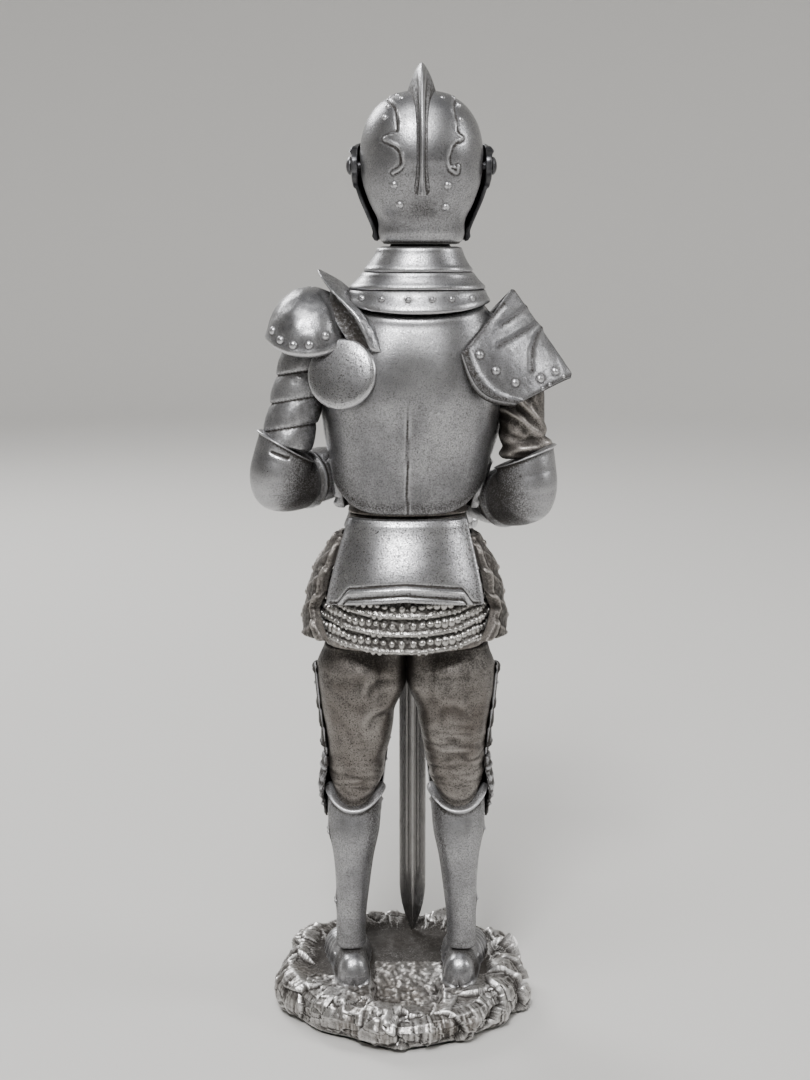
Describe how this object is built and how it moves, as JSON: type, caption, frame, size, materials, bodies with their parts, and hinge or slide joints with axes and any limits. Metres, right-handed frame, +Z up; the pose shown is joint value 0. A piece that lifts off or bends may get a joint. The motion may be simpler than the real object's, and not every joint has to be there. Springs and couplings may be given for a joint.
{
  "type": "armoured knight statuette",
  "caption": "Standing knight in plate armour with a hinged visor, hands on a point-down sword, on a rock base.",
  "frame": {"origin": "centre of the felt pad's underside, on the surface that the statuette stands on", "axes": "+Z up, the figure faces -Y, its left side is +X"},
  "size_m": [0.0611, 0.0508, 0.1815],
  "materials": {
    "antique_silver": "satin",
    "rock_silver": "satin",
    "face_silver": "satin",
    "dark_visor": "satin",
    "sword_steel": "satin",
    "felt": "matte"
  },
  "bodies": {
    "statuette": {"base_rock": "rock_silver", "felt_pad": "felt", "left_sabaton": "antique_silver", "left_greave": "antique_silver", "left_thigh": "antique_silver", "left_cuisse": "antique_silver", "left_poleyn": "antique_silver", "right_sabaton": "antique_silver", "right_greave": "antique_silver", "right_thigh": "antique_silver", "right_cuisse": "antique_silver", "right_poleyn": "antique_silver", "pelvis": "antique_silver", "mail_skirt_lower": "antique_silver", "mail_skirt_middle": "antique_silver", "mail_skirt_upper": "antique_silver", "culet_plate": "antique_silver", "front_fauld": "antique_silver", "left_tasset": "antique_silver", "right_tasset": "antique_silver", "torso_core": "antique_silver", "backplate": "antique_silver", "breastplate": "antique_silver", "gorget_rivet_band": "antique_silver", "gorget_lower_lame": "antique_silver", "gorget_upper_lame": "antique_silver", "helmet_skull": "antique_silver", "helmet_comb": "antique_silver", "head": "face_silver", "left_visor_rivet": "dark_visor", "right_visor_rivet": "dark_visor", "left_upper_arm": "antique_silver", "left_elbow_cop": "antique_silver", "left_vambrace": "antique_silver", "left_gauntlet": "antique_silver", "right_upper_arm": "antique_silver", "right_elbow_cop": "antique_silver", "right_vambrace": "antique_silver", "right_gauntlet": "antique_silver", "sword_blade": "sword_steel", "sword_crossguard": "antique_silver", "sword_grip": "antique_silver", "sword_pommel": "antique_silver", "left_pauldron_dome": "antique_silver", "left_neck_guard": "antique_silver", "left_rear_wing": "antique_silver", "right_pauldron": "antique_silver"},
    "visor": {"visor": "dark_visor"}
  },
  "joints": [
    {"name": "visor_hinge", "type": "hinge", "parent": "statuette", "child": "visor", "pos_m": [-0.0034, 0, 0.1633], "axis": [-1, 0, 0], "range_deg": [0, 66]}
  ]
}
